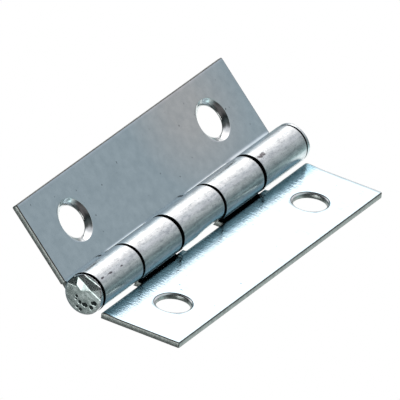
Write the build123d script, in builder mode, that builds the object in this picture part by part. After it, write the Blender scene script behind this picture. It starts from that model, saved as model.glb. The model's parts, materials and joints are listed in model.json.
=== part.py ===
"""A narrow fixed-pin butt hinge of pressed steel, such as hangs a cabinet door.

Three pieces: a front leaf with two rolled knuckles, a back leaf with three, and the pin that runs
through all five and is headed over at both ends. The hinge lies on its front leaf, part open.

The origin is midway between the front leaf's two screw holes, on the face that seats on the wood.
+X runs from the pin towards the front leaf's free edge, +Y along the pin, +Z up.
"""
from math import asin, cos, degrees, radians, sin, sqrt
import os

from build123d import *

os.makedirs("parts", exist_ok=True)

# Driving sizes, in millimetres and degrees
leaf_length = 50.0         # along the pin
leaf_width = 14.0          # from the pin's axis to a leaf's free edge
sheet_thickness = 0.8      # the strip that both leaves are pressed from
barrel_diameter = 5.4      # outside of the rolled knuckles
opening_angle = 135.0      # between the leaves as the hinge lies; 0 is closed
notch_edge = 2.5           # from the pin's axis to the leaf, opposite the other leaf's knuckles

# Five knuckles share the length. Each seam between two of them was sheared a little nearer to the
# near end than an even share would put it.
knuckle_count = 5
drift_12 = -0.3
drift_23 = -0.8
drift_34 = -0.4
drift_45 = -0.6
end_setback = 0.2          # the outer knuckles stop this far short of their leaf's ends
narrow_seam = 0.17         # the front leaf has slid along the pin, so each of its knuckles has
wide_seam = 0.33           # a narrow seam on one side and a wide one on the other
curl_gap = 0.32            # between a rolled strip's free end and its own leaf
root_overhang = 1.5        # a front tongue's root runs on this far past the knuckle's far end
root_clearance = 0.06      # between that root and the knuckle above it

# Screw holes, two in each leaf. The front leaf's are sunk less deep than the back leaf's.
hole_diameter = 4.5
front_countersink_diameter = 5.05
back_countersink_diameter = 5.9
countersink_angle = 100.0
hole_to_free_edge = 5.85
hole_to_leaf_end = 8.2

# The pin and its two formed heads
pin_clearance = 0.05       # running clearance all round, in the knuckles
head_diameter = 5.3
head_thickness = 0.75
head_edge_radius = 0.4
near_head_gap = 0.27       # between each head and the knuckle beside it: the pin has slid too
far_head_gap = 0.13

# Corners and edges
leaf_corner_radius = 0.3
notch_corner_radius = 0.3
inner_edge_radius = 0.12
outer_edge_radius = 0.06

# Sizes that follow from these
barrel_radius = barrel_diameter / 2
eye_radius = barrel_radius - sheet_thickness
root_edge = sqrt((barrel_radius + root_clearance) ** 2 - eye_radius**2)
hole_from_pin = leaf_width - hole_to_free_edge
hole_spacing = leaf_length - 2 * hole_to_leaf_end

near_end = -leaf_length / 2
far_end = leaf_length / 2
even_share = leaf_length / knuckle_count
seam_12 = near_end + even_share + drift_12
seam_23 = near_end + 2 * even_share + drift_23
seam_34 = near_end + 3 * even_share + drift_34
seam_45 = near_end + 4 * even_share + drift_45

# Where each knuckle starts and ends along the pin
front_spans = [
    (seam_12 + narrow_seam / 2, seam_23 - wide_seam / 2),
    (seam_34 + narrow_seam / 2, seam_45 - wide_seam / 2),
]
back_spans = [
    (near_end + end_setback, seam_12 - narrow_seam / 2),
    (seam_23 + wide_seam / 2, seam_34 - narrow_seam / 2),
    (seam_45 + wide_seam / 2, far_end - end_setback),
]

# A leaf's frame has its origin on the pin's axis, x towards the free edge and z towards the side
# that the screw heads sink into. The back leaf's y runs the other way along the pin.
pin_axis = (-hole_from_pin, 0, barrel_radius)
opening = radians(opening_angle)
front_frame = Plane(origin=pin_axis, x_dir=(1, 0, 0), z_dir=(0, 0, 1))
back_frame = Plane(
    origin=pin_axis,
    x_dir=(cos(opening), 0, sin(opening)),
    z_dir=(sin(opening), 0, -cos(opening)),
)


def notches(spans):
    """The stretches of a leaf's inner edge that have no knuckle, as (start, end) along the pin."""
    edges = [near_end] + [y for span in sorted(spans) for y in span] + [far_end]
    return list(zip(edges[::2], edges[1::2]))


def curl_end_angle():
    """How far past the pin's level a rolled strip goes before it stops short of its own leaf."""
    drop = barrel_radius - sheet_thickness - curl_gap
    return degrees(asin(drop / barrel_radius))


def sheared_edges(leaf, frame, side):
    """The edges round a leaf's flat inner face (side 1) or outer face (side -1)."""
    flat = leaf.faces().filter_by(GeomType.PLANE)
    face = flat.filter_by(lambda f: side * f.normal_at().dot(frame.z_dir) > 0.999)[0]
    return face.outer_wire().edges().filter_by(lambda e: frame.to_local_coords(e.center()).X > 0.001)


def build_leaf(frame, spans, overhang, countersink_diameter):
    """A leaf: a flat notched plate whose tongues are rolled round the pin into knuckles."""
    outer_face = frame.offset(-barrel_radius)
    inner_face = frame.offset(sheet_thickness - barrel_radius)
    with BuildPart() as leaf:
        # The flat part, with a tongue left for each knuckle
        with BuildSketch(outer_face) as flat:
            with Locations((leaf_width / 2, 0)):
                Rectangle(leaf_width, leaf_length)
            for start, end in notches(spans):
                with Locations((notch_edge / 2, (start + end) / 2)):
                    Rectangle(notch_edge, end - start, mode=Mode.SUBTRACT)
            # A tongue's root may run on past its knuckle, as far in as the next knuckle lets it
            if overhang > 0:
                for _, end in spans:
                    with Locations((root_edge, end)):
                        Rectangle(notch_edge - root_edge, overhang, align=(Align.MIN, Align.MIN))
            # A notch's corners are rounded, apart from one too near the end of the leaf
            room = leaf_length / 2 - notch_corner_radius
            inner_corners = flat.vertices().filter_by(
                lambda v: abs(v.X - notch_edge) < 0.001 and abs(v.Y) < room
            )
            fillet(inner_corners, notch_corner_radius)
            fillet(flat.vertices().group_by(Axis.X)[-1], leaf_corner_radius)
        extrude(amount=sheet_thickness)

        # Each tongue goes on round the pin, to stop short of the leaf again
        for start, end in spans:
            section = Plane(
                origin=frame.from_local_coords(Vector(0, start, 0)),
                x_dir=frame.x_dir,
                z_dir=frame.y_dir,
            )
            with BuildSketch(section):
                with BuildLine():
                    outside = CenterArc((0, 0), barrel_radius, 90, 270 + curl_end_angle())
                    inside = CenterArc((0, 0), eye_radius, 90, 270 + curl_end_angle())
                    Line(outside @ 0, inside @ 0)
                    Line(outside @ 1, inside @ 1)
                make_face()
            extrude(amount=end - start)

        # Shearing leaves a soft edge round the inner face and a crisper one round the outer face.
        # Both run on round the knuckles' rims, because a tongue's edges lead into them.
        fillet(sheared_edges(leaf, frame, 1), inner_edge_radius)
        fillet(sheared_edges(leaf, frame, -1), outer_edge_radius)

        # The screw holes, sunk from the inner face
        with Locations(inner_face):
            with Locations((hole_from_pin, -hole_spacing / 2), (hole_from_pin, hole_spacing / 2)):
                CounterSinkHole(
                    radius=hole_diameter / 2,
                    counter_sink_radius=countersink_diameter / 2,
                    depth=sheet_thickness,
                    counter_sink_angle=countersink_angle,
                )
    return leaf


front_leaf = build_leaf(front_frame, front_spans, root_overhang, front_countersink_diameter)
front_leaf.part.label = "front_leaf"
export_step(front_leaf.part, "parts/front_leaf.step")

turned_spans = [(-end, -start) for start, end in back_spans]
back_leaf = build_leaf(back_frame, turned_spans, 0, back_countersink_diameter)
back_leaf.part.label = "back_leaf"
export_step(back_leaf.part, "parts/back_leaf.step")

# The pin, turned about its own axis: a plain shank between two low heads with rounded edges
shank_radius = eye_radius - pin_clearance
head_radius = head_diameter / 2
near_seat = near_end + end_setback - near_head_gap
far_seat = far_end - end_setback + far_head_gap
with BuildPart() as pin:
    with BuildSketch(Plane.XY.offset(barrel_radius)) as half_section:
        with Locations((-hole_from_pin, near_seat)):
            Rectangle(shank_radius, far_seat - near_seat, align=(Align.MIN, Align.MIN))
            Rectangle(head_radius, head_thickness, align=(Align.MIN, Align.MAX))
        with Locations((-hole_from_pin, far_seat)):
            Rectangle(head_radius, head_thickness, align=(Align.MIN, Align.MIN))
        rims = half_section.vertices().group_by(Axis.X)[-1].sort_by(Axis.Y)
        fillet([rims[0], rims[-1]], head_edge_radius)
    revolve(axis=Axis(pin_axis, (0, 1, 0)))
pin.part.label = "pin"
export_step(pin.part, "parts/pin.step")
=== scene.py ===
# %% [markdown]
# # A narrow butt hinge in bright zinc plate
#
# A hinge like this hangs a small cabinet door. It is three pieces: two leaves pressed from thin steel
# strip, whose tongues are rolled into knuckles, and a pin of steel wire that runs through all five
# knuckles and is hammered over at both ends. All of it is zinc plated after it is put together.
#
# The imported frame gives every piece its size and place. This lesson makes each piece again with the
# details that the eye looks for in metal: rolled edges, sheared walls, hammer marks and fine scratches.
# Lengths are worked out in millimetres, in each piece's own frame, and turned to metres at the end.

# %% Load the frame and read the sizes that it holds
import json
import math

import bmesh
import bpy
from mathutils import Matrix, Vector, noise


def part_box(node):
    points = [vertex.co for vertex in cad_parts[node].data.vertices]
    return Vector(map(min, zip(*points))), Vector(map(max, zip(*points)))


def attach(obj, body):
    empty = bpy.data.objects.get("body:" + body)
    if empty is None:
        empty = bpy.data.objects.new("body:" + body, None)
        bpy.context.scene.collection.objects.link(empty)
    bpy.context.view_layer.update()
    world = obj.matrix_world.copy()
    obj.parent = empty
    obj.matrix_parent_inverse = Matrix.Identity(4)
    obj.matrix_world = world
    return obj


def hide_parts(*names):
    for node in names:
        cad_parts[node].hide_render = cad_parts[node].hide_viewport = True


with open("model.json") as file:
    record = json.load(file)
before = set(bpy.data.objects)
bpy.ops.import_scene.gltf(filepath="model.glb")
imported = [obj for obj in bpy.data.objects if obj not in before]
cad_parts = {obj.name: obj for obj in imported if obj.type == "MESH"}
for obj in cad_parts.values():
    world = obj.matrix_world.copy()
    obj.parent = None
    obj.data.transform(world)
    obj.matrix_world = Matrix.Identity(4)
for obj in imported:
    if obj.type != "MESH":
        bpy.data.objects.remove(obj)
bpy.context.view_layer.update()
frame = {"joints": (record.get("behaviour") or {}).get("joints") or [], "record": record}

MM = 0.001
mounts = {m["name"]: m for m in frame["record"]["mounts"]}
front_low, front_high = (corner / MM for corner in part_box("front_leaf"))
pin_low, pin_high = (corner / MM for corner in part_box("pin"))

pin_axis = Vector(frame["joints"][0]["pos_m"]) / MM
leaf_width = front_high.x - pin_axis.x
leaf_length = front_high.y - front_low.y
barrel_radius = (front_high.z - front_low.z) / 2
head_radius = (pin_high.z - pin_low.z) / 2
hole_from_pin = -pin_axis.x
hole_spacing = mounts["front_leaf_screws"]["dims"]["spacing_y_mm"]
hole_radius = mounts["front_leaf_screws"]["dims"]["hole_r_mm"]
back_normal = Vector(mounts["back_leaf_screws"]["axis"])
opening = math.atan2(back_normal.x, -back_normal.z)

print(f"leaf {leaf_width:.2f} x {leaf_length:.2f} mm, barrel {2 * barrel_radius:.2f} mm across, "
      f"opened {math.degrees(opening):.0f} degrees")

# %% [markdown]
# ## The sizes that the frame doesn't list
#
# A press tool gives a leaf its own small sizes: the strip's thickness, where each knuckle starts and
# ends, how far the screw heads sink in, and how much the shears round each edge over.

# %% Sizes of the strip, the knuckles and the screw holes, in millimetres
strip_thickness = 0.8
notch_edge = 2.5          # from the pin's axis to a leaf, opposite the other leaf's knuckles
curl_gap = 0.32           # between a tongue's rolled end and its own leaf
front_overhang = 1.5      # how far a front tongue's root runs on past its knuckle
root_clearance = 0.06     # between that root and the knuckle above it
pin_clearance = 0.05      # between the pin's shank and the knuckles

# Where each tongue starts and ends along the pin
front_tongues = [(-15.215, -5.965), (4.685, 14.235)]
back_tongues = [(-24.8, -15.385), (-5.635, 4.515), (14.565, 24.8)]

# The screw holes. Their edges are rounded by rim_rounding.
front_sink_radius = 2.525
back_sink_radius = 2.95
sink_half_angle = math.radians(50)
rim_rounding = 0.035

# How far the other edges are rounded. The corners just clear the grid lines 0.2 mm from them.
corner_radius = 0.19
rolled_edge = 0.12
crisp_edge = 0.06
knuckle_edge = 0.2

eye_radius = barrel_radius - strip_thickness
root_edge = math.sqrt((barrel_radius + root_clearance) ** 2 - eye_radius**2)

# %% [markdown]
# ## One function adds a node
#
# Shaders, the studio light and the rolling of the knuckles are all node trees. One small function adds
# a node, sets its properties and gives each input either a value or a link, so that every tree below
# reads like a list of steps.

# %% The colour function and the node function
def linear(hex_colour):
    """An sRGB colour such as "8c99a2" as the linear values that a shader works in."""
    parts = [int(hex_colour[k:k + 2], 16) / 255 for k in (0, 2, 4)]
    return [c / 12.92 if c <= 0.04045 else ((c + 0.055) / 1.055) ** 2.4 for c in parts] + [1.0]


def add_node(tree, kind, inputs=None, stops=(), **settings):
    """Adds a node with its settings and links.

    Each input is named or numbered, and gets a value, a socket, or a node, which gives it its first
    output in use. A colour ramp gets its stops, each a place from 0 to 1 and an sRGB colour.
    """
    made = tree.nodes.new(kind)
    for name, value in settings.items():
        setattr(made, name, value)
    for name, value in (inputs or {}).items():
        if isinstance(value, bpy.types.Node):
            value = next(output for output in value.outputs if output.enabled)
        if isinstance(value, bpy.types.NodeSocket):
            tree.links.new(value, made.inputs[name])
        else:
            made.inputs[name].default_value = value
    for k, (place, colour) in enumerate(stops):
        stop = made.color_ramp.elements[k] if k < 2 else made.color_ramp.elements.new(1.0)
        stop.position = place
        stop.color = linear(colour)
    return made


# %% [markdown]
# ## The camera
#
# The hinge is seen from a long way off through a long lens, so its edges stay almost parallel. The
# camera looks down by 29 degrees and is rolled by 6, because the hinge was set down a little askew. The
# lens is no longer than 1600 mm, so that the camera keeps the hinge in its range from any side.

# %% Camera
camera_azimuth = math.radians(28.24)
camera_elevation = math.radians(29.35)
camera_roll = math.radians(6.19)
camera_distance = 2252.4
camera_aim = Vector((-8.24, 2.59, 4.14))
camera_lens = 1600.0
sensor_width = 36.0

camera_data = bpy.data.cameras.new("camera")
camera_data.lens = camera_lens
camera_data.sensor_width = sensor_width
camera = bpy.data.objects.new("camera", camera_data)
bpy.context.scene.collection.objects.link(camera)
bpy.context.scene.camera = camera

turned = (
    Matrix.Rotation(camera_azimuth, 4, "Z")
    @ Matrix.Rotation(math.pi / 2 - camera_elevation, 4, "X")
    @ Matrix.Rotation(camera_roll, 4, "Z")
)
looking = turned.to_3x3() @ Vector((0, 0, -1))
camera.matrix_world = Matrix.Translation((camera_aim - camera_distance * looking) * MM) @ turned
print("camera looks along", [round(v, 4) for v in looking])

# %% [markdown]
# ## The studio
#
# Polished metal has no look of its own: it shows the room. Product photographers hang a big soft light
# over one side and let the other side fall away to dark, so that a round bar shows a bright band that
# fades to a deep edge. Here the room is a world shader, worked out from the direction alone: a large
# soft light high on the left and far side, a grey table below, and a room that is dark on the camera's
# side and darkens towards the horizon. Two cards stand low: a white one at the near side, where it
# lights the end of the pin, and a small blue-grey one at the right, where it lights the screw holes of
# the back leaf.

# %% The room as a world shader
key_direction = Vector((-0.45, 0.65, 0.62)).normalized()
room_strength = 3.1
# Each stop: the cosine of the angle from the key light, and the room's colour there
room_stops = [
    (-0.40, "aca9aa"),
    (-0.05, "374142"),
    (0.00, "374142"),
    (0.22, "798689"),
    (0.41, "7e8384"),
    (0.55, "808486"),
    (0.68, "939498"),
    (0.80, "9b9da0"),
    (0.90, "bcbabb"),
    (0.965, "c8c6c5"),
    (0.985, "ffffff"),
]
# Each stop: a place from straight down, at 0, to the horizon, at 1, and the table's colour there
table_stops = [(0.0, "a5a9a9"), (0.55, "a5a9a9"), (0.75, "7b8080"), (0.93, "596668")]
# Heights, and places along the pin, are parts of a direction that is 1 long. The walls darken from a
# height down to the horizon, and walls and table darken towards the camera's side, between two places.
# Each light is the share of the full light that is left there.
horizon_height = 0.4
horizon_light = 0.42
dusk = (-0.25, 0.15)
room_near_light = 0.12
table_near_light = 0.22
# The table's far edge is soft, between two heights
table_edge = (0.02, -0.08)
# Each card: its direction, the angles from its middle where it starts and is full, and its colour
cards = [
    (Vector((-0.14, -0.98, -0.06)).normalized(), math.radians(27), math.radians(20), "ffffff"),
    (Vector((0.85, 0.42, -0.33)).normalized(), math.radians(17), math.radians(11), "9db3b6"),
]

world = bpy.data.worlds.new("studio room")
bpy.context.scene.world = world
world.use_nodes = True
room = world.node_tree
room.nodes.clear()
direction = add_node(room, "ShaderNodeTexCoord").outputs["Generated"]
compass = add_node(room, "ShaderNodeSeparateXYZ", {0: direction}).outputs

facing_key = add_node(
    room, "ShaderNodeVectorMath", {0: direction, 1: key_direction}, operation="DOT_PRODUCT"
)
key_share = add_node(room, "ShaderNodeMapRange", {"Value": facing_key, "From Min": -1.0, "From Max": 1.0})
walls = add_node(
    room, "ShaderNodeValToRGB", {"Fac": key_share}, [((dot + 1) / 2, colour) for dot, colour in room_stops]
)
horizon = add_node(
    room,
    "ShaderNodeMapRange",
    {"Value": compass["Z"], "From Max": horizon_height, "To Min": horizon_light},
    interpolation_type="SMOOTHSTEP",
)
camera_side = add_node(
    room,
    "ShaderNodeMapRange",
    {"Value": compass["Y"], "From Min": dusk[0], "From Max": dusk[1], "To Min": room_near_light},
    interpolation_type="SMOOTHSTEP",
)
dimming = add_node(room, "ShaderNodeMath", {0: horizon, 1: camera_side}, operation="MULTIPLY")
dimmed_walls = add_node(room, "ShaderNodeVectorMath", {0: walls, "Scale": dimming}, operation="SCALE")

table_share = add_node(
    room, "ShaderNodeMapRange", {"Value": compass["Z"], "From Min": -1.0, "From Max": 0.0}
)
table = add_node(room, "ShaderNodeValToRGB", {"Fac": table_share}, table_stops)
table_side = add_node(
    room,
    "ShaderNodeMapRange",
    {"Value": compass["Y"], "From Min": dusk[0], "From Max": dusk[1], "To Min": table_near_light},
    interpolation_type="SMOOTHSTEP",
)
dimmed_table = add_node(room, "ShaderNodeVectorMath", {0: table, "Scale": table_side}, operation="SCALE")
below = add_node(
    room,
    "ShaderNodeMapRange",
    {"Value": compass["Z"], "From Min": table_edge[0], "From Max": table_edge[1]},
    interpolation_type="SMOOTHSTEP",
)
view = add_node(
    room, "ShaderNodeMix", {"Factor": below, 6: dimmed_walls, 7: dimmed_table}, data_type="RGBA"
)
for card_direction, card_edge, card_full, card_colour in cards:
    facing_card = add_node(
        room, "ShaderNodeVectorMath", {0: direction, 1: card_direction}, operation="DOT_PRODUCT"
    )
    card_share = add_node(
        room,
        "ShaderNodeMapRange",
        {"Value": facing_card, "From Min": math.cos(card_edge), "From Max": math.cos(card_full)},
        interpolation_type="SMOOTHSTEP",
    )
    view = add_node(
        room, "ShaderNodeMix", {"Factor": card_share, 6: view, 7: linear(card_colour)}, data_type="RGBA"
    )
backdrop = add_node(room, "ShaderNodeBackground", {"Color": view, "Strength": room_strength})
add_node(room, "ShaderNodeOutputWorld", {"Surface": backdrop})

# %% [markdown]
# ## The floor
#
# The photograph's ground is a plain, shadowless white. A light table does that: the sheet under the
# object glows by itself. The floor and a wide dome over it are such a sheet. They are part of the
# stage only, and the metal doesn't mirror them, because it shows the room instead.

# %% Floor and dome, in metres
stage_radius = 6.0
floor_drop = 0.00002
glow = bpy.data.materials.new("glowing white sheet")
glow.use_nodes = True
glow.node_tree.nodes.clear()
sheet_light = add_node(glow.node_tree, "ShaderNodeEmission", {"Color": linear("ffffff"), "Strength": 1.0})
add_node(glow.node_tree, "ShaderNodeOutputMaterial", {"Surface": sheet_light.outputs["Emission"]})

stage_mesh = bmesh.new()
bmesh.ops.create_uvsphere(stage_mesh, u_segments=64, v_segments=32, radius=stage_radius)
bmesh.ops.bisect_plane(
    stage_mesh,
    geom=stage_mesh.verts[:] + stage_mesh.edges[:] + stage_mesh.faces[:],
    plane_co=(0, 0, -floor_drop),
    plane_no=(0, 0, -1),
    clear_outer=True,
)
bmesh.ops.contextual_create(stage_mesh, geom=[e for e in stage_mesh.edges if e.is_boundary])
floor_data = bpy.data.meshes.new("floor")
stage_mesh.to_mesh(floor_data)
stage_mesh.free()
floor_data.materials.append(glow)
floor = bpy.data.objects.new("floor", floor_data)
bpy.context.scene.collection.objects.link(floor)
floor.visible_glossy = False
floor.visible_diffuse = False
floor.visible_shadow = False

bpy.context.scene.view_settings.view_transform = "Standard"

# %% [markdown]
# ## Finishes
#
# Bright zinc plate is a thin film of zinc over steel, with a clear passivate that turns it faintly
# blue. On the flat of a leaf it keeps the strip's rolled grain. On a knuckle the forming tool has
# rubbed it brighter, with fine scratches along the pin. A sheared wall is torn metal, dull and dark
# under the same plate.

# %% How every finish starts
def new_finish(name):
    """An empty material, its node tree, and the mesh's own coordinates in millimetres."""
    material = bpy.data.materials.new(name)
    material.use_nodes = True
    tree = material.node_tree
    tree.nodes.clear()
    place = add_node(tree, "ShaderNodeTexCoord").outputs["Object"]
    in_mm = add_node(tree, "ShaderNodeVectorMath", {0: place, "Scale": 1 / MM}, operation="SCALE")
    return material, tree, in_mm


# %% [markdown]
# ## Strip, knuckles and their wear
#
# Cold-rolled strip is nearly a mirror, with faint streaks across the leaf from the rolls and a speck of
# dust here and there. The front leaf is scuffed beside the barrel, where the rolling tool pushed it, so
# its streaks are deep there and tear the barrel's reflection into a fringe. The back leaf has a warmer
# patch where the passivate is thinner. All of it is noise, stretched the way that the metal was worked.
#
# The eye reads the streaks as rolled metal and the faint clouds as plate. Real streaks are a few
# hundredths of a millimetre wide, too fine to show in the picture, so they are drawn 0.22 mm wide.

# %% Zinc-plated strip, rolled flat: sizes in millimetres
streak_width = 0.22
streak_stretch = 5.0
cloud_size = 1.1
dust_spacing = 0.6
swell_size = 1.6
swell_depth = 0.005
warm_reach = (3.0, 12.0)
streak_depth = 0.008
strip_roughness = (0.06, 0.12)

# Each scuff: where it starts and ends across the leaf, and how deep the streaks are where it starts. Between
# the same places the strip is painted bluer, as a painted tint of the barrel's reflection beside it.
# The back leaf has none: the whole leaf lies beyond its end.
front_scuff_and_tint = (-5.2, -2.9, 0.085)
no_scuff_or_tint = (-101.0, -100.0, streak_depth)


def strip_finish(name, tint, warm_middle, scuff_and_tint):
    """Cold-rolled strip under bright zinc, scuffed between two places across the leaf, with a painted
    reflection tint there.
    """
    material, tree, mm = new_finish(name)
    compass = add_node(tree, "ShaderNodeSeparateXYZ", {0: mm}).outputs
    cloud = add_node(tree, "ShaderNodeTexNoise", {"Vector": mm, "Scale": 1 / cloud_size, "Detail": 5.0})
    mottle = add_node(tree, "ShaderNodeValToRGB", {"Fac": cloud}, [(0.3, "eef0f1"), (0.7, "ffffff")])
    dust = add_node(tree, "ShaderNodeTexNoise", {"Vector": mm, "Scale": 1 / dust_spacing, "Detail": 1.0})
    speck = add_node(tree, "ShaderNodeValToRGB", {"Fac": dust}, [(0.2, "a0a4a6"), (0.235, "ffffff")])
    # The passivate is faintly blue, except in the warm patch
    away = add_node(tree, "ShaderNodeVectorMath", {0: mm, 1: warm_middle}, operation="DISTANCE")
    inner, outer = warm_reach
    blueness = add_node(tree, "ShaderNodeMapRange", {"Value": away, "From Min": inner, "From Max": outer})
    cool = add_node(tree, "ShaderNodeValToRGB", {"Fac": blueness}, [(0.0, "ffffff"), (1.0, "e3f5fe")])
    # Beside the barrel the strip is painted bluer, as a painted tint of the barrel's reflection, and where it
    # is scuffed its streaks are deeper
    start, end, depth = scuff_and_tint
    clear = add_node(
        tree, "ShaderNodeMapRange", {"Value": compass["X"], "From Min": start, "From Max": end}
    )
    painted_reflection_tint = add_node(
        tree,
        "ShaderNodeValToRGB",
        {"Fac": clear},
        [(0.0, "bbe1e9"), (0.35, "cbe7ef"), (0.55, "e7f3f9"), (0.7, "ffffff")],
    )
    base = linear(tint)
    for layer in (mottle, speck, cool, painted_reflection_tint):
        base = add_node(
            tree, "ShaderNodeMix", {"Factor": 1.0, 6: base, 7: layer}, data_type="RGBA", blend_type="MULTIPLY"
        )
    drawn_out = add_node(tree, "ShaderNodeMapping", {"Vector": mm, "Scale": (1 / streak_stretch, 1.0, 1.0)})
    streaks = add_node(
        tree, "ShaderNodeTexNoise", {"Vector": drawn_out, "Scale": 1 / streak_width, "Detail": 3.0}
    )
    deepness = add_node(
        tree, "ShaderNodeMapRange", {"Value": clear, "To Min": depth * MM, "To Max": streak_depth * MM}
    )
    broad = add_node(tree, "ShaderNodeTexNoise", {"Vector": mm, "Scale": 1 / swell_size, "Detail": 2.0})
    swell = add_node(tree, "ShaderNodeBump", {"Height": broad, "Strength": 1.0, "Distance": swell_depth * MM})
    normal = add_node(
        tree, "ShaderNodeBump", {"Height": streaks, "Strength": 1.0, "Distance": deepness, "Normal": swell}
    )
    least, most = strip_roughness
    rough = add_node(tree, "ShaderNodeMapRange", {"Value": streaks, "To Min": least, "To Max": most})
    metal = add_node(
        tree,
        "ShaderNodeBsdfPrincipled",
        {"Base Color": base, "Metallic": 1.0, "Roughness": rough, "Normal": normal},
    )
    add_node(tree, "ShaderNodeOutputMaterial", {"Surface": metal})
    return material


# %% [markdown]
# A knuckle is the same plate, rubbed along the pin by the rolling tool. The long scratches make its
# reflections streaky, and the patches and grit between them are what worn plate shows. Real scratches
# and grit are finer than 0.05 mm. They are drawn 0.3 mm and 0.17 mm across, so that they show.

# %% Rolled knuckles: sizes in millimetres
scratch_width = 0.3
scratch_stretch = 6.0
scratch_depth = 0.004
rub_size = 0.4
rub_stretch = 2.2
rub_depth = 0.002
grit_size = 0.17
knuckle_roughness = (0.13, 0.24)

# A band of the knuckles between two heights is painted darker and teal: painted shade, which tints the
# reflection on their shaded side. Their side towards the back leaf is painted darker between two places
# across: painted shade in the crease. The far end is duller, from one place along the pin to another.
painted_shade_heights = (2.0, 4.4)
crease_shade_places = (-9.25, -8.3)
dull_places = (13.0, 16.0)
dulled_by = 0.1

# Each scuff: its middle, and how far it reaches each way. Its edge is torn by the rubbed patches.
scuff_tear = 3.0
scuff_edge = (2.05, 2.35)
knuckle_scuffs = [
    ((-7.23, 15.85, 5.24), (0.35, 1.2, 0.24)),
    ((-6.6, -23.8, 5.0), (0.25, 0.5, 0.13)),
    ((-6.6, -22.2, 4.95), (0.25, 0.55, 0.13)),
    ((-6.55, -19.5, 4.85), (0.2, 0.35, 0.1)),
]


def knuckle_finish():
    """Rolled knuckles: the same plate, rubbed brighter, with fine scratches along the pin."""
    material, tree, mm = new_finish("zinc plated knuckle")
    compass = add_node(tree, "ShaderNodeSeparateXYZ", {0: mm}).outputs
    drawn_out = add_node(tree, "ShaderNodeMapping", {"Vector": mm, "Scale": (1.0, 1 / scratch_stretch, 1.0)})
    streaks = add_node(
        tree, "ShaderNodeTexNoise", {"Vector": drawn_out, "Scale": 1 / scratch_width, "Detail": 4.0}
    )
    rubbed = add_node(tree, "ShaderNodeMapping", {"Vector": mm, "Scale": (1.0, 1 / rub_stretch, 1.0)})
    patches = add_node(tree, "ShaderNodeTexNoise", {"Vector": rubbed, "Scale": 1 / rub_size, "Detail": 4.0})
    grit = add_node(tree, "ShaderNodeTexNoise", {"Vector": mm, "Scale": 1 / grit_size, "Detail": 2.0})
    base = add_node(tree, "ShaderNodeValToRGB", {"Fac": streaks}, [(0.3, "c8cccd"), (0.65, "e4e7e8")])
    worn = add_node(tree, "ShaderNodeValToRGB", {"Fac": patches}, [(0.33, "e4e6e8"), (0.5, "ffffff")])
    gritty = add_node(tree, "ShaderNodeValToRGB", {"Fac": grit}, [(0.27, "c4c0c6"), (0.42, "ffffff")])
    # Painted shade: a band between two heights is tinted darker and teal
    low, high = painted_shade_heights
    height = add_node(
        tree, "ShaderNodeMapRange", {"Value": compass["Z"], "From Min": low, "From Max": high}
    )
    painted_low_shade = add_node(
        tree,
        "ShaderNodeValToRGB",
        {"Fac": height},
        [(0.0, "ffffff"), (0.38, "f4fcfd"), (0.5, "cddfe0"), (0.83, "e7e7e7")],
    )
    # Painted shade: the side towards the back leaf, at the crease, is tinted darker
    start, end = crease_shade_places
    inwards = add_node(
        tree, "ShaderNodeMapRange", {"Value": compass["X"], "From Min": start, "From Max": end}
    )
    painted_crease_shade = add_node(
        tree, "ShaderNodeValToRGB", {"Fac": inwards}, [(0.0, "cbdbe2"), (1.0, "ffffff")]
    )
    layers = [worn, gritty, painted_low_shade, painted_crease_shade]
    torn, whole = scuff_edge
    for middle, reach in knuckle_scuffs:
        shifted = add_node(tree, "ShaderNodeVectorMath", {0: mm, 1: middle}, operation="SUBTRACT")
        scaled = add_node(tree, "ShaderNodeVectorMath", {0: shifted, 1: reach}, operation="DIVIDE")
        away = add_node(tree, "ShaderNodeVectorMath", {0: scaled}, operation="LENGTH")
        ragged = add_node(
            tree, "ShaderNodeMath", {0: patches, 1: scuff_tear, 2: away}, operation="MULTIPLY_ADD"
        )
        share = add_node(tree, "ShaderNodeMapRange", {"Value": ragged, "From Min": torn, "From Max": whole})
        layers.append(
            add_node(tree, "ShaderNodeValToRGB", {"Fac": share}, [(0.0, "8a8487"), (1.0, "ffffff")])
        )
    for layer in layers:
        base = add_node(
            tree, "ShaderNodeMix", {"Factor": 1.0, 6: base, 7: layer}, data_type="RGBA", blend_type="MULTIPLY"
        )
    dents = add_node(tree, "ShaderNodeBump", {"Height": patches, "Strength": 1.0, "Distance": rub_depth * MM})
    normal = add_node(
        tree,
        "ShaderNodeBump",
        {"Height": streaks, "Strength": 1.0, "Distance": scratch_depth * MM, "Normal": dents},
    )
    least, most = knuckle_roughness
    scratched = add_node(tree, "ShaderNodeMapRange", {"Value": streaks, "To Min": least, "To Max": most})
    start, end = dull_places
    far_end = add_node(
        tree,
        "ShaderNodeMapRange",
        {"Value": compass["Y"], "From Min": start, "From Max": end, "To Max": dulled_by},
    )
    rough = add_node(tree, "ShaderNodeMath", {0: scratched, 1: far_end}, operation="ADD")
    metal = add_node(
        tree,
        "ShaderNodeBsdfPrincipled",
        {"Base Color": base, "Metallic": 1.0, "Roughness": rough, "Normal": normal},
    )
    add_node(tree, "ShaderNodeOutputMaterial", {"Surface": metal})
    return material


# %% [markdown]
# ## Duller finishes
#
# Everything that is cut rather than rolled scatters more light. These finishes differ only in numbers:
# the size of the grain and how it is drawn out, two colours, the roughness and how deep the grain is.
#
# A sheared wall is torn through its thickness, and looks grey and streaked. A countersink is cut clean
# by a drill and stays bright. The seams are painted nearly black, as painted shade in the gaps between the
# knuckles, and the rims that the shears dragged are a dark brown. Real grain is finer than 0.1 mm and is
# drawn at 0.3 mm or more, so that it shows.

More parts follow.
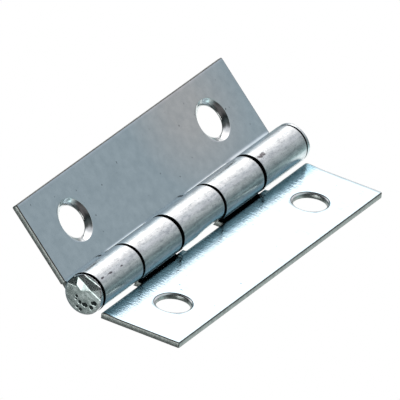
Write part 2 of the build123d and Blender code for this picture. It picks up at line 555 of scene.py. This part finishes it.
# %% Cut and dirty metal
def grained_finish(name, grain, stretch, dark, light, roughness, depth):
    """Metal whose colour and surface both follow one grain."""
    material, tree, mm = new_finish(name)
    drawn_out = add_node(tree, "ShaderNodeMapping", {"Vector": mm, "Scale": [1 / s for s in stretch]})
    lumps = add_node(tree, "ShaderNodeTexNoise", {"Vector": drawn_out, "Scale": 1 / grain, "Detail": 4.0})
    base = add_node(tree, "ShaderNodeValToRGB", {"Fac": lumps}, [(0.3, dark), (0.7, light)])
    normal = add_node(tree, "ShaderNodeBump", {"Height": lumps, "Strength": 1.0, "Distance": depth * MM})
    metal = add_node(
        tree,
        "ShaderNodeBsdfPrincipled",
        {"Base Color": base, "Metallic": 1.0, "Roughness": roughness, "Normal": normal},
    )
    add_node(tree, "ShaderNodeOutputMaterial", {"Surface": metal})
    return material


# The middle of the back leaf's warm patch, and a place so far off that the front leaf has none
warm_patch = Vector((-17.6, 13.0, 9.5))
nowhere = Vector((0.0, 200.0, 0.0))

# Each grained finish: its name, its grain in mm, how far that is drawn out, its dark and light colours,
# its roughness, and its depth in mm
leaf_finishes = [
    strip_finish("zinc plated strip, front leaf", "b8babb", nowhere, front_scuff_and_tint),
    strip_finish("zinc plated strip, back leaf", "c0bebe", warm_patch, no_scuff_or_tint),
    grained_finish("sheared wall", 0.3, (1.0, 1.0, 2.5), "747b78", "949b98", 0.36, 0.02),
    grained_finish("countersunk hole", 0.35, (3.0, 3.0, 1.0), "c4c6c6", "e4e6e6", 0.17, 0.004),
    knuckle_finish(),
    # The seams' near-black is painted shade for the dark gaps between the knuckles
    grained_finish("seam, painted shade", 0.4, (1.0, 1.0, 1.0), "0b0d0d", "1a1e1e", 0.5, 0.01),
    grained_finish("dragged rim", 0.4, (1.0, 1.0, 1.0), "45423f", "6a6764", 0.42, 0.01),
]
FRONT_FLAT, BACK_FLAT, SHEARED, SUNK, ROLLED, SEAM_SHADE, RIM = range(7)

# %% [markdown]
# ## The blank of a leaf
#
# A leaf starts as a flat blank: a rectangle with a tongue for each knuckle. It is drawn as a sheet of
# small squares, which keeps every later step simple: the squares bend without creases when the tongue
# is rolled. Each screw hole sits in a square patch whose border is drawn in, ring by ring, to a circle.
# The squares are smallest beside the notches, where a burr or a crown is raised later.

# %% The flat sheet of squares, in millimetres
square = 0.55
fine_square = 0.13
fine_reach = 0.6
roll_step = barrel_radius * math.radians(4)

# The patch round each hole: half its side, and the squares along a side. Two extra rings lie between its
# border and the hole's rim, at these shares of the way: going in on top, and coming out on the bottom.
patch_half = 3.35
patch_squares = 12
shares_in = (0.45, 0.8)
shares_out = (0.2, 0.55)

# A tongue goes three quarters of the way round, and then on past the pin's level
curl_past_level = math.asin((barrel_radius - strip_thickness - curl_gap) / barrel_radius)
curl_length = barrel_radius * (1.5 * math.pi + curl_past_level)


def ruled(marks):
    """Grid lines through each (place, step) mark, evenly spaced at about its step up to the next."""
    lines = []
    for (start, step), (end, _) in zip(marks, marks[1:]):
        count = max(1, round((end - start) / step))
        lines += [start + (end - start) * k / count for k in range(count)]
    return lines + [marks[-1][0]]


def blank_lines(tongues, overhang):
    """The blank's grid lines, across the strip and along it."""
    patch_step = 2 * patch_half / patch_squares
    across = ruled([
        (-curl_length, roll_step),
        (0.0, square),
        (root_edge, square),
        (notch_edge, fine_square),
        (notch_edge + fine_reach, square / 2),
        (hole_from_pin - patch_half, patch_step),
        (hole_from_pin + patch_half, square),
        (leaf_width, square),
    ])
    edges = {-leaf_length / 2, leaf_length / 2}
    for start, end in tongues:
        edges.update({start, end, end + overhang})
    for side in (-1, 1):
        edges.update({side * hole_spacing / 2 - patch_half, side * hole_spacing / 2 + patch_half})
    along = ruled([(y, square) for y in sorted(edges)])
    return across, along


def sink_profile(sink_radius):
    """A screw hole from its inner rim to its outer one, as (radius, height above the outer face)."""
    depth = (sink_radius - hole_radius) / math.tan(sink_half_angle)
    shoulder = strip_thickness - depth
    return [
        (sink_radius + rim_rounding, strip_thickness),
        (sink_radius, strip_thickness - 0.4 * rim_rounding),
        (sink_radius - rim_rounding, strip_thickness - 1.6 * rim_rounding),
        (0.5 * (sink_radius + hole_radius), strip_thickness - 0.5 * depth),
        (hole_radius + 0.5 * rim_rounding, shoulder + 0.7 * rim_rounding),
        (hole_radius, shoulder - 0.5 * rim_rounding),
        (hole_radius, 0.5 * shoulder),
        (hole_radius, rim_rounding),
        (hole_radius + rim_rounding, 0.0),
    ]


def draw_blank(tongues, overhang, sink_radius):
    """The blank as a closed solid: x from the pin's axis, y along it, z up from the outer face."""
    across, along = blank_lines(tongues, overhang)
    holes = [Vector((hole_from_pin, side * hole_spacing / 2)) for side in (-1, 1)]
    bm = bmesh.new()
    points = {}

    def point(i, j, layer):
        if (i, j, layer) not in points:
            points[i, j, layer] = bm.verts.new((across[i], along[j], layer * strip_thickness))
        return points[i, j, layer]

    def filled(i, j):
        if not (0 <= i < len(across) - 1 and 0 <= j < len(along) - 1):
            return "outside"
        x = (across[i] + across[i + 1]) / 2
        y = (along[j] + along[j + 1]) / 2
        reach = overhang if x > root_edge else 0.0
        if x < notch_edge and not any(start < y < end + reach for start, end in tongues):
            return "outside"
        if any(max(abs(x - h.x), abs(y - h.y)) < patch_half for h in holes):
            return "patch"
        return "sheet"

    borders = [{}, {}]
    for i in range(len(across) - 1):
        for j in range(len(along) - 1):
            if filled(i, j) != "sheet":
                continue
            ring = [(i, j), (i + 1, j), (i + 1, j + 1), (i, j + 1)]
            bm.faces.new([point(a, b, 1) for a, b in ring])
            bm.faces.new([point(a, b, 0) for a, b in reversed(ring)])
            beside = [(i, j - 1), (i + 1, j), (i, j + 1), (i - 1, j)]
            for k, (a, b) in enumerate(beside):
                p, q = ring[k], ring[(k + 1) % 4]
                if filled(a, b) == "outside":
                    bm.faces.new([point(*p, 0), point(*q, 0), point(*q, 1), point(*p, 1)])
                elif filled(a, b) == "patch":
                    borders[0 if along[j] < 0 else 1].update({p: None, q: None})

    for hole, border in zip(holes, borders):
        def turn(key):
            return math.atan2(along[key[1]] - hole.y, across[key[0]] - hole.x)

        order = sorted(border, key=turn)
        turns = [turn(key) for key in order]

        def ring_of(radius, height_up):
            return [
                Vector((hole.x + radius * math.cos(a), hole.y + radius * math.sin(a), height_up))
                for a in turns
            ]

        def between(outer, inner, share):
            return [bm.verts.new(o.lerp(i, share)) for o, i in zip(outer, inner)]

        profile = sink_profile(sink_radius)
        top = [point(*key, 1) for key in order]
        bottom = [point(*key, 0) for key in order]
        top_places = [v.co for v in top]
        bottom_places = [v.co for v in bottom]
        rings = [top]
        for share in shares_in:
            rings.append(between(top_places, ring_of(*profile[0]), share))
        for radius, height_up in profile:
            rings.append([bm.verts.new(p) for p in ring_of(radius, height_up)])
        for share in shares_out:
            rings.append(between(ring_of(*profile[-1]), bottom_places, share))
        rings.append(bottom)
        for outer, inner in zip(rings, rings[1:]):
            for n in range(len(order)):
                m = (n + 1) % len(order)
                bm.faces.new([outer[n], outer[m], inner[m], inner[n]])
    bm.normal_update()
    return bm, holes


# %% [markdown]
# ## The edges that the shears leave
#
# The shears drag the skin of the strip over the edge, so the side that faced the punch has a soft
# round, and the other side stays crisp. Corners of the outline are rounded first, then both rims.

# %% Rounding the outline, then its rims
# How near a point has to be to a line or a level to count as on it, in millimetres
on_line = 0.01
on_level = 0.0001
# How far two faces have to turn from each other to meet at a sharp edge, in radians
sharp = 1.0
# How far inside its patch a hole's own edges start, in millimetres
hole_margin = 0.1


def outline_corners(bm):
    """The upright edges at the blank's corners, apart from those at the set-back outer knuckles."""
    ends = leaf_length / 2
    found = []
    for edge in bm.edges:
        a, b = edge.verts
        if abs(a.co.z - b.co.z) < strip_thickness / 2 or len(edge.link_faces) != 2:
            continue
        near_end = abs(a.co.x - notch_edge) < on_line and abs(a.co.y) > ends - 2 * corner_radius
        flat_part = any(abs(a.co.x - x) < on_line for x in (leaf_width, notch_edge))
        if edge.calc_face_angle(0.0) > sharp and flat_part and not near_end:
            found.append(edge)
    return found


def rim_edges(bm, holes, level):
    """The edges at one level where a face of the sheet meets a sheared wall."""
    found = []
    for edge in bm.edges:
        a, b = edge.verts
        off_level = max(abs(a.co.z - level), abs(b.co.z - level))
        if off_level > on_level or len(edge.link_faces) != 2:
            continue
        middle = (a.co.xy + b.co.xy) / 2
        if any((middle - h).length < patch_half - hole_margin for h in holes):
            continue
        if edge.calc_face_angle(0.0) > sharp:
            found.append(edge)
    return found


def bevel(bm, edges, size, segments):
    """Rounds some edges to a radius."""
    bmesh.ops.bevel(
        bm,
        geom=edges,
        offset=size,
        offset_type="OFFSET",
        segments=segments,
        profile=0.5,
        affect="EDGES",
        clamp_overlap=False,
    )


def round_edges(bm, holes):
    """Rounds the outline's corners, then the rim that the shears dragged, then the crisp one."""
    bevel(bm, outline_corners(bm), corner_radius, segments=4)
    bevel(bm, rim_edges(bm, holes, strip_thickness), rolled_edge, segments=3)
    outer = rim_edges(bm, holes, 0.0)
    on_tongues = [e for e in outer if max(v.co.x for v in e.verts) < on_line]
    bevel(bm, on_tongues, knuckle_edge, segments=4)
    bevel(bm, rim_edges(bm, holes, 0.0), crisp_edge, segments=2)
    bm.normal_update()


# %% [markdown]
# ## Which finish each face gets
#
# While the blank is flat, a face's tilt and place tell how it was made. A wall was sheared, a slope at
# the top of a wall was dragged by the shears, and a tongue's end will face a seam, where it is painted
# nearly black as painted shade. So each face is numbered now, and keeps its number when the tongue is
# rolled.

# %% Numbering the faces of the flat blank
# How much of a face's normal points up: less than this on a wall, and more than this on the flat
wall_tilt = 0.2
flat_tilt = 0.97
# How much of it points along the pin, at least, on a tongue's end
end_tilt = 0.15
# Where the barrel starts, and how far past the notches the slopes count as sheared, in millimetres
barrel_start = -0.3
root_rim = 0.2


def mark_finishes(bm, holes, sink_radius, flat):
    """Gives each face of the blank the number of its finish."""
    finish = bm.faces.layers.int.new("finish")
    for face in bm.faces:
        middle = face.calc_center_median()
        upright = abs(face.normal.z)
        from_hole = min((middle.xy - h).length for h in holes)
        at_root = barrel_start < middle.x < notch_edge + root_rim
        if from_hole < sink_radius + rim_rounding and middle.z > on_line:
            on_rim = from_hole > sink_radius - rim_rounding and middle.z > strip_thickness / 2
            if upright < wall_tilt:
                face[finish] = SHEARED
            elif on_rim and flat == FRONT_FLAT:
                face[finish] = RIM
            else:
                face[finish] = SUNK
        # A tongue's end faces a seam between the knuckles, and gets its painted shade
        elif middle.x < root_edge / 2 and abs(face.normal.y) > end_tilt:
            face[finish] = SEAM_SHADE
        elif upright < wall_tilt or (upright < flat_tilt and at_root):
            face[finish] = SHEARED
        elif upright < flat_tilt and middle.x > 0:
            face[finish] = RIM
        elif middle.x < barrel_start:
            face[finish] = ROLLED
        else:
            face[finish] = flat


# %% [markdown]
# ## Small faults of the press
#
# No knuckle comes off the rolling tool quite round. The middle one is a little waisted on its lower
# side, as if the tool had slipped, so the blank is thinned there before it is rolled. The back leaf has
# a low burr along its notches and beside its last knuckle, which catches the light next to the barrel.
# The front leaf is crowned by a tenth of a millimetre there, which squeezes the barrel's reflection.

# %% The waist, the burr and the crown
# How much of its length a burr takes to rise, at each end, in millimetres
burr_fade = 0.5


def thin_strip(bm, middle_y, half_length, middle_turn, half_turn, depth):
    """Presses the outer face in, most at one place along the pin and one angle round the curl."""
    for vert in bm.verts:
        along = (vert.co.y - middle_y) / half_length
        around = (-vert.co.x / barrel_radius - middle_turn) / half_turn
        if abs(along) < 1 and abs(around) < 1:
            share = (1 - along**2) * (0.5 + 0.5 * math.cos(math.pi * around))
            vert.co.z += depth * share * (1 - vert.co.z / strip_thickness)


def raise_burr(bm, start, end, foot, rise):
    """Raises the inner face towards the notch edge, along one stretch of it."""
    for vert in bm.verts:
        inside = min(vert.co.y - start, end - vert.co.y)
        if inside > 0 and notch_edge - on_line < vert.co.x < foot and vert.co.z > strip_thickness / 2:
            share = (foot - vert.co.x) / (foot - notch_edge)
            vert.co.z += rise * share * min(1.0, inside / burr_fade)


def crown_root(bm, rise, peak, foot):
    """Raises the inner face to a low ridge beside the notches, which falls away to the flat."""
    for vert in bm.verts:
        if notch_edge < vert.co.x < foot and vert.co.z > strip_thickness / 2:
            up = (vert.co.x - notch_edge) / (peak - notch_edge)
            down = (foot - vert.co.x) / (foot - peak)
            vert.co.z += rise * (math.sin(math.pi / 2 * up) if up < 1 else down)


# %% [markdown]
# ## Rolling the tongues
#
# A rolling tool pushes each tongue round a mandrel. Geometry Nodes do the same to every point of the
# blank. What lies beyond the pin's axis is wrapped round it: the distance along the strip becomes an
# angle, and the height above the outer face becomes a distance in from the barrel's surface. The tree
# has the barrel's radius as an input and serves both leaves.

# %% The rolling tree
def rolling_tree():
    """Wraps what lies at negative x round the pin's axis, and gives each face its finish."""
    tree = bpy.data.node_groups.new("roll the tongues", "GeometryNodeTree")
    sockets = tree.interface
    sockets.new_socket("Geometry", in_out="INPUT", socket_type="NodeSocketGeometry")
    sockets.new_socket("Barrel Radius", in_out="INPUT", socket_type="NodeSocketFloat")
    sockets.new_socket("Geometry", in_out="OUTPUT", socket_type="NodeSocketGeometry")
    given = add_node(tree, "NodeGroupInput").outputs
    place = add_node(tree, "GeometryNodeInputPosition")
    split = add_node(tree, "ShaderNodeSeparateXYZ", {0: place}).outputs

    flat = add_node(tree, "ShaderNodeMath", {0: split["X"], 1: 0.0}, operation="MAXIMUM")
    along_strip = add_node(tree, "ShaderNodeMath", {0: split["X"], 1: 0.0}, operation="MINIMUM")
    angle = add_node(tree, "ShaderNodeMath", {0: along_strip, 1: given["Barrel Radius"]}, operation="DIVIDE")
    radius = add_node(
        tree, "ShaderNodeMath", {0: given["Barrel Radius"], 1: split["Z"]}, operation="SUBTRACT"
    )
    sine = add_node(tree, "ShaderNodeMath", {0: angle}, operation="SINE")
    cosine = add_node(tree, "ShaderNodeMath", {0: angle}, operation="COSINE")
    sideways = add_node(tree, "ShaderNodeMath", {0: radius, 1: sine}, operation="MULTIPLY")
    upwards = add_node(tree, "ShaderNodeMath", {0: radius, 1: cosine}, operation="MULTIPLY")
    across = add_node(tree, "ShaderNodeMath", {0: flat, 1: sideways}, operation="ADD")
    down = add_node(tree, "ShaderNodeMath", {0: upwards, 1: -1.0}, operation="MULTIPLY")
    rolled = add_node(tree, "ShaderNodeCombineXYZ", {"X": across, "Y": split["Y"], "Z": down})
    shape = add_node(
        tree, "GeometryNodeSetPosition", {"Geometry": given["Geometry"], "Position": rolled}
    )
    real = add_node(tree, "GeometryNodeRealizeInstances", {"Geometry": shape})
    number = add_node(tree, "GeometryNodeInputNamedAttribute", {"Name": "finish"}, data_type="INT")
    painted = real
    for k, material in enumerate(leaf_finishes):
        chosen = add_node(
            tree,
            "FunctionNodeCompare",
            {2: number.outputs["Attribute"], 3: k},
            data_type="INT",
            operation="EQUAL",
        )
        painted = add_node(
            tree,
            "GeometryNodeSetMaterial",
            {"Geometry": painted, "Selection": chosen, "Material": material},
        )
    add_node(tree, "NodeGroupOutput", {0: painted})
    return tree


roll = rolling_tree()


def socket_id(tree, name):
    """The identifier by which a modifier knows one of its tree's inputs."""
    for item in tree.interface.items_tree:
        if item.name == name and item.in_out == "INPUT":
            return item.identifier


def finished_mesh(name, source, place):
    """The evaluated object as a plain mesh, put in its place and turned to metres."""
    depsgraph = bpy.context.evaluated_depsgraph_get()
    mesh = bpy.data.meshes.new_from_object(source.evaluated_get(depsgraph))
    bpy.data.objects.remove(source)
    mesh.transform(Matrix.Scale(MM, 4) @ place)
    mesh.name = name
    mesh.shade_smooth()
    made = bpy.data.objects.new(name, mesh)
    bpy.context.scene.collection.objects.link(made)
    even = made.modifiers.new("even shading", "WEIGHTED_NORMAL")
    even.weight = 100
    even.keep_sharp = True
    return made


def make_leaf(name, tongues, overhang, sink_radius, place, flat, faults):
    """Draws, rounds, marks and rolls one leaf."""
    bm, holes = draw_blank(tongues, overhang, sink_radius)
    round_edges(bm, holes)
    mark_finishes(bm, holes, sink_radius, flat)
    for fault, sizes in faults:
        fault(bm, *sizes)
    blank = bpy.data.meshes.new(name + "_blank")
    bm.to_mesh(blank)
    bm.free()
    for material in leaf_finishes:
        blank.materials.append(material)
    source = bpy.data.objects.new(name + "_blank", blank)
    bpy.context.scene.collection.objects.link(source)
    rolling = source.modifiers.new("roll", "NODES")
    rolling.node_group = roll
    rolling[socket_id(roll, "Barrel Radius")] = barrel_radius
    made = finished_mesh(name, source, place)
    print(name, len(made.data.polygons), "faces")
    return made


# %% Both leaves
# The waist: its middle and half its length along the pin, its middle and half its width as angles round
# the curl, and its depth
waist = (-2.5, 4.6, math.radians(95), math.radians(75), 0.22)
# Each burr: how far from the pin's axis its foot is, and how high it rises
notch_burr = (notch_edge + 0.26, 0.16)
last_burr = (notch_edge + 0.39, 0.22)
# The crown: how high it rises, and how far from the pin's axis its peak and its foot are
crown = (0.12, notch_edge + 0.5, notch_edge + 2.6)

front_place = Matrix.Translation(pin_axis)
half_turn_axis = Vector((math.cos(opening / 2), 0, math.sin(opening / 2)))
back_place = Matrix.Translation(pin_axis) @ Matrix.Rotation(math.pi, 4, half_turn_axis)

front_leaf = make_leaf(
    "front_leaf_pressed",
    front_tongues,
    front_overhang,
    front_sink_radius,
    front_place,
    FRONT_FLAT,
    [(crown_root, crown)],
)
turned_tongues = sorted((-end, -start) for start, end in back_tongues)
back_leaf = make_leaf(
    "back_leaf_pressed",
    turned_tongues,
    0.0,
    back_sink_radius,
    back_place,
    BACK_FLAT,
    [
        (thin_strip, waist),
        (raise_burr, (turned_tongues[1][1], turned_tongues[2][0], *notch_burr)),
        (raise_burr, (turned_tongues[0][1], turned_tongues[1][0], *notch_burr)),
        (raise_burr, (*turned_tongues[0], *last_burr)),
    ],
)

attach(front_leaf, "front")
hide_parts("front_leaf")
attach(back_leaf, "back")
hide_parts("back_leaf")

# %% [markdown]
# ## The pin
#
# The pin is a length of wire, headed over cold at both ends with a hammer. Each head is turned here
# from a half section, in rings close enough together to take the hammer's marks: flats that lean back
# towards the rim, and small pits. A flat is a slope that starts at a line across the head.
#
# The hammer leaves its own grain in a face, which is duller than the plate round it. The pits are painted
# nearly black, as painted shade, and a head's side is as bright as a knuckle.

# %% Sizes of the pin, in millimetres
shank_radius = eye_radius - pin_clearance
head_thickness = 0.75
head_edge = 0.22
face_radius = head_radius - head_edge

# How finely it is divided: the rings' distance on the face, the rings on the rim's rounding and on the
# side, and the divisions round a ring
ring_step = 0.07
face_ring_count = round(face_radius / ring_step)
rounding_steps = 8
side_steps = 4
pin_segments = 240

# %% Marks of the hammer, in millimetres from the middle of a face

# Each flat: the lines where it may start, as (x share, z share, start), and its slope
near_flats = [
    ([(0.577, 0.816, 0.39), (-0.30, 0.955, 0.71), (-0.8, 0.6, -1.0)], 0.16),
    ([(0.482, 0.876, 1.45)], 0.56),
    ([(-1.6, 0.0, 1.68), (0.0, 1.0, 0.95)], 0.62),
]
# Each pit: where it is, its radius and its depth
near_pits = [
    (-0.84, -0.34, 0.16, 0.10),
    (-0.90, -0.75, 0.10, 0.07),
    (-0.31, -1.03, 0.18, 0.13),
    (0.50, -1.16, 0.22, 0.14),
    (0.20, -1.20, 0.15, 0.11),
    (1.79, -0.51, 0.22, 0.14),
    (1.45, -0.60, 0.16, 0.11),
    (1.36, -1.23, 0.20, 0.15),
    (-0.14, -2.02, 0.17, 0.13),
    (-0.62, -1.81, 0.15, 0.11),
]
far_flats = [([(0.6, 0.8, 1.3)], 0.2), ([(-0.8, -0.6, 1.5)], 0.16)]
far_pits = [(0.4, -0.6, 0.18, 0.1), (-0.9, 0.5, 0.15, 0.09), (1.2, -1.1, 0.14, 0.1)]

# The face is a low dome, which falls by dome_slope times the squared distance, and is faintly rippled
dome_slope = 0.012
ripple_depth = 0.012
ripples_per_mm = 1.7
ripple_slice = 3.1
# How wide a pit's slope is, how deep a pit is where its painted shade starts, and how much of a head's
# side is left below the deepest flat
pit_width = 0.8
shade_depth = 0.013
least_side = 0.06


def hammered(x, z, flats, pits):
    """How far the hammer has moved a point of the face in, and how much further a pit takes it."""
    depth = dome_slope * (x * x + z * z)
    for lines, slope in flats:
        inside = min(lean_x * x + lean_z * z - start for lean_x, lean_z, start in lines)
        depth += slope * max(0.0, inside)
    ripple_place = Vector((ripples_per_mm * x, ripples_per_mm * z, ripple_slice))
    depth += ripple_depth * noise.noise(ripple_place)
    pit = 0.0
    for pit_x, pit_z, radius, deep in pits:
        away = (x - pit_x) ** 2 + (z - pit_z) ** 2
        pit += deep * math.exp(-away / (pit_width * radius * radius))
    return depth, pit


def head_rings():
    """Half of a head, from the middle of its face outwards, as (radius, depth below the face)."""
    rings = [(face_radius * k / face_ring_count, 0.0) for k in range(1, face_ring_count + 1)]
    for k in range(1, rounding_steps + 1):
        a = math.pi / 2 * k / rounding_steps
        rings.append((face_radius + head_edge * math.sin(a), head_edge * (1 - math.cos(a))))
    for k in range(1, side_steps + 1):
        rings.append((head_radius, head_edge + (head_thickness - head_edge) * k / side_steps))
    rings.append((shank_radius, head_thickness))
    return rings


FACE, INSIDE, PIT_SHADE, SIDE = range(4)


def make_pin():
    """Joins the rings of both heads into one closed solid and gives each face its finish."""
    bm = bmesh.new()
    half = head_rings()
    ends = [(pin_low.y, 1, near_flats, near_pits), (pin_high.y, -1, far_flats, far_pits)]
    made = {}
    for face_y, inwards, flats, pits in ends:
        rings = []
        for radius, depth in [(0.0, 0.0)] + half:
            ring = []
            for k in range(pin_segments if radius else 1):
                x = radius * math.cos(2 * math.pi * k / pin_segments)
                z = radius * math.sin(2 * math.pi * k / pin_segments)
                moved, pit = hammered(x, z, flats, pits)
                sunk = max(depth, min(moved, head_thickness - least_side)) + pit
                if depth >= head_thickness:
                    sunk = depth
                ring.append((bm.verts.new((x, face_y + inwards * sunk, z)), pit))
            rings.append(ring)
        made[inwards] = rings

    def skin(first, second, number):
        for k in range(pin_segments):
            m = (k + 1) % pin_segments
            corners = [second[k], second[m]] + ([first[m], first[k]] if len(first) > 1 else [first[0]])
            face = bm.faces.new([corner[0] for corner in corners])
            # Painted shade: faces deep enough in a pit are painted nearly black
            shaded = sum(corner[1] for corner in corners) / len(corners) > shade_depth
            face.material_index = PIT_SHADE if number == FACE and shaded else number

    for rings in made.values():
        for k, (first, second) in enumerate(zip(rings, rings[1:])):
            if k <= face_ring_count:
                number = FACE
            elif k < len(rings) - 2:
                number = SIDE
            else:
                number = INSIDE
            skin(first, second, number)
    skin(made[1][-1], made[-1][-1], INSIDE)
    bmesh.ops.recalc_face_normals(bm, faces=bm.faces)
    mesh = bpy.data.meshes.new("pin_turned")
    bm.to_mesh(mesh)
    bm.free()
    return mesh


pin_finishes = [
    grained_finish("hammered pin head", 0.45, (1.0, 1.0, 1.0), "92a09d", "c4d0ce", 0.27, 0.007),
    # The shank shows only in the seams, and gets their painted shade
    leaf_finishes[SEAM_SHADE],
    grained_finish("pit, painted shade", 0.3, (1.0, 1.0, 1.0), "1c2224", "3c4444", 0.55, 0.01),
    leaf_finishes[ROLLED],
]
pin_data = make_pin()
for material in pin_finishes:
    pin_data.materials.append(material)
pin_source = bpy.data.objects.new("pin_turned", pin_data)
bpy.context.scene.collection.objects.link(pin_source)
pin = finished_mesh("pin_headed", pin_source, Matrix.Translation((pin_axis.x, 0, pin_axis.z)))
print("pin_headed", len(pin.data.polygons), "faces")
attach(pin, "back")
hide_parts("pin")
